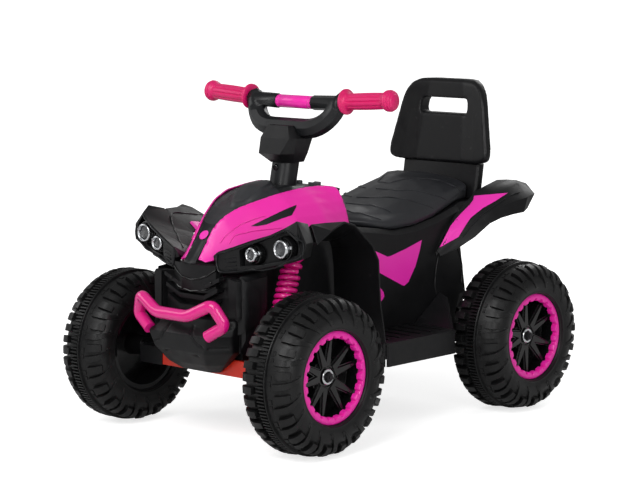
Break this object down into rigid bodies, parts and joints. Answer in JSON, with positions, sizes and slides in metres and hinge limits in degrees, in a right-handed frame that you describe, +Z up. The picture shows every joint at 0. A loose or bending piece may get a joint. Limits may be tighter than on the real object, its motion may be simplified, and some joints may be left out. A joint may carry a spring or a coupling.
{
  "type": "electric ride-on car",
  "caption": "Child's battery ride-on quad with a moulded body, seat and backrest, hollow plastic wheels, steering bars, lamps, front springs and a foot pedal.",
  "frame": {"origin": "on the ground, at the centre of the wheels' and bumper's outline", "axes": "+Y to the rear along the length, +X to the rider's left, +Z up; the front faces -Y"},
  "size_m": [0.504, 0.744, 0.5467],
  "materials": {
    "black_moulded": "moulded, fine satin grain",
    "black_satin": "smooth satin",
    "tyre_plastic": "blown hard plastic, matt",
    "pink_gloss": "glossy moulded colour",
    "pink_grip": "soft matt",
    "silver_plated": "plated plastic",
    "zinc_plated_steel": "zinc plated",
    "orange_paint": "orange-red paint, gloss",
    "lamp_chrome": "plated reflector and ring",
    "grey_moulded": "moulded, matt"
  },
  "bodies": {
    "chassis": {"front_axle_beam": "orange_paint", "body_shell": "black_moulded", "floor_pan": "black_moulded", "seat": "black_satin", "backrest": "black_moulded", "backrest_bracket": "black_moulded", "front_fender_left": "black_moulded", "front_fender_right": "black_moulded", "rear_fender_left": "black_moulded", "rear_fender_right": "black_moulded", "hood_left": "pink_gloss", "hood_right": "pink_gloss", "hood_spine": "black_satin", "headlight_pod_left": "black_moulded", "headlight_pod_right": "black_moulded", "headlamp_outer_left": "lamp_chrome", "headlamp_outer_right": "lamp_chrome", "headlamp_inner_left": "lamp_chrome", "headlamp_inner_right": "lamp_chrome", "front_fascia": "black_moulded", "lower_bumper": "black_moulded", "bumper_bar": "pink_gloss", "shock_spring_left": "pink_gloss", "shock_spring_right": "pink_gloss", "shock_body_left": "pink_gloss", "shock_body_right": "pink_gloss", "rear_axle": "zinc_plated_steel", "motor_gearbox": "grey_moulded", "battery": "grey_moulded", "charging_socket": "black_satin", "axle_nut_rear_left": "silver_plated", "axle_nut_rear_right": "silver_plated"},
    "steering": {"steering_shaft": "zinc_plated_steel", "steering_column": "black_satin", "handlebar": "black_satin", "crossbar_sleeve": "pink_gloss", "grip_left": "pink_grip", "grip_right": "pink_grip", "bar_clamp_cowl": "black_moulded"},
    "tie_rod": {"tie_rod": "zinc_plated_steel"},
    "knuckle_left": {"knuckle_left": "zinc_plated_steel", "axle_nut_front_left": "silver_plated"},
    "knuckle_right": {"knuckle_right": "zinc_plated_steel", "axle_nut_front_right": "silver_plated"},
    "accelerator_pedal": {"accelerator_pedal": "grey_moulded"},
    "power_button": {"power_button": "grey_moulded"},
    "sound_button": {"sound_button": "grey_moulded"},
    "direction_switch": {"direction_switch": "grey_moulded"},
    "wheel_front_left": {"tyre_front_left": "tyre_plastic", "rim_front_left": "black_moulded", "rim_ring_front_left": "pink_gloss"},
    "wheel_front_right": {"tyre_front_right": "tyre_plastic", "rim_front_right": "black_moulded", "rim_ring_front_right": "pink_gloss"},
    "wheel_rear_left": {"tyre_rear_left": "tyre_plastic", "rim_rear_left": "black_moulded", "rim_ring_rear_left": "pink_gloss"},
    "wheel_rear_right": {"tyre_rear_right": "tyre_plastic", "rim_rear_right": "black_moulded", "rim_ring_rear_right": "pink_gloss"}
  },
  "joints": [
    {"name": "handlebar_turn", "type": "hinge", "parent": "chassis", "child": "steering", "pos_m": [0, -0.102, 0.391], "axis": [0, 0.2079, 0.9781], "range_deg": [-22, 22]},
    {"name": "tie_rod_shift", "type": "slide", "parent": "chassis", "child": "tie_rod", "axis": [1, 0, 0], "range_m": [-0.0115, 0.0115]},
    {"name": "knuckle_turn_left", "type": "hinge", "parent": "chassis", "child": "knuckle_left", "pos_m": [0.13, -0.247, 0.125], "axis": [0, 0, 1], "range_deg": [-18, 18]},
    {"name": "knuckle_turn_right", "type": "hinge", "parent": "chassis", "child": "knuckle_right", "pos_m": [-0.13, -0.247, 0.125], "axis": [0, 0, 1], "range_deg": [-18, 18]},
    {"name": "wheel_spin_front_left", "type": "hinge", "parent": "knuckle_left", "child": "wheel_front_left", "pos_m": [0.205, -0.247, 0.125], "axis": [1, 0, 0], "continuous": true},
    {"name": "wheel_spin_front_right", "type": "hinge", "parent": "knuckle_right", "child": "wheel_front_right", "pos_m": [-0.205, -0.247, 0.125], "axis": [1, 0, 0], "continuous": true},
    {"name": "wheel_spin_rear_left", "type": "hinge", "parent": "chassis", "child": "wheel_rear_left", "pos_m": [0.205, 0.247, 0.125], "axis": [1, 0, 0], "continuous": true},
    {"name": "wheel_spin_rear_right", "type": "hinge", "parent": "chassis", "child": "wheel_rear_right", "pos_m": [-0.205, 0.247, 0.125], "axis": [1, 0, 0], "continuous": true},
    {"name": "pedal_press", "type": "hinge", "parent": "chassis", "child": "accelerator_pedal", "pos_m": [-0.148, 0.042, 0.156], "axis": [1, 0, 0], "range_deg": [0, 7], "stiffness_Nm_per_rad": 0.5, "springref_deg": -5.73},
    {"name": "power_press", "type": "slide", "parent": "chassis", "child": "power_button", "axis": [0, 0, -1], "range_m": [0, 0.002], "stiffness_N_per_m": 400, "springref_m": -0.0005},
    {"name": "sound_press", "type": "slide", "parent": "chassis", "child": "sound_button", "axis": [0, 0, -1], "range_m": [0, 0.002], "stiffness_N_per_m": 400, "springref_m": -0.0005},
    {"name": "direction_rock", "type": "hinge", "parent": "chassis", "child": "direction_switch", "pos_m": [0.034, -0.064, 0.386], "axis": [1, 0, 0], "range_deg": [-8, 8]}
  ],
  "couplings": [
    {"joint": "knuckle_turn_left", "follows": "handlebar_turn", "ratio": 0.8},
    {"joint": "knuckle_turn_right", "follows": "handlebar_turn", "ratio": 0.8},
    {"joint": "tie_rod_shift", "follows": "handlebar_turn", "m_per_rad": -0.028}
  ]
}
